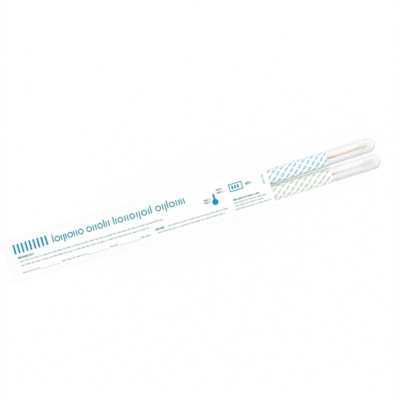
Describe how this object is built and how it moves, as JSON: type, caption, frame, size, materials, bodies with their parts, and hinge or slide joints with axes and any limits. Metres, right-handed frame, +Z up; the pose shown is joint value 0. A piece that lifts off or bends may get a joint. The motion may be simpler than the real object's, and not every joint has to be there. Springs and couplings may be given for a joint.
{
  "type": "twin swab transport tube pack",
  "caption": "Long sealed peel wrapper with a printed front, and clear round-bottomed tubes side by side out of its mouth, each labelled, capped and holding a stick swab.",
  "frame": {"origin": "on the table under the middle of the whole pack, with its lowest faces at Z = 0", "axes": "+X along the pack from the wrapper's peel end to the tubes' round ends, +Y across it towards the tube with the blue label, +Z up through the printed side"},
  "size_m": [0.3328, 0.0386, 0.0141],
  "materials": {
    "coated_paper": "white coated paper with a faint fibre, slightly satin",
    "clear_film": "clear heat-sealable film with soft creases",
    "clear_tube": "clear moulded plastic, smooth and glossy",
    "label_paper": "smooth white label paper",
    "white_cap": "white moulded plastic, satin",
    "stick_wood": "plain birch, fine straight grain",
    "stick_plastic": "white extruded plastic",
    "swab_fibre": "soft wound fibre",
    "ink_blue": "printed ink, flat",
    "ink_teal": "printed ink, flat",
    "ink_grey_teal": "printed ink, flat",
    "ink_label_blue": "printed ink, flat",
    "ink_label_teal": "printed ink, flat",
    "ink_label_olive": "printed ink, flat"
  },
  "bodies": {
    "root": {"printed_web": "coated_paper", "clear_film": "clear_film", "blue_tube": "clear_tube", "green_tube": "clear_tube", "blue_label": "label_paper", "green_label": "label_paper", "blue_cap": "white_cap", "green_cap": "white_cap", "wood_stick": "stick_wood", "plastic_stick": "stick_plastic", "rayon_bud": "swab_fibre", "cotton_bud": "swab_fibre", "bold_print": "ink_blue", "title_print": "ink_teal", "fine_print": "ink_grey_teal", "blue_dashes": "ink_label_blue", "teal_dashes": "ink_label_teal", "olive_dashes": "ink_label_olive"}
  },
  "joints": []
}
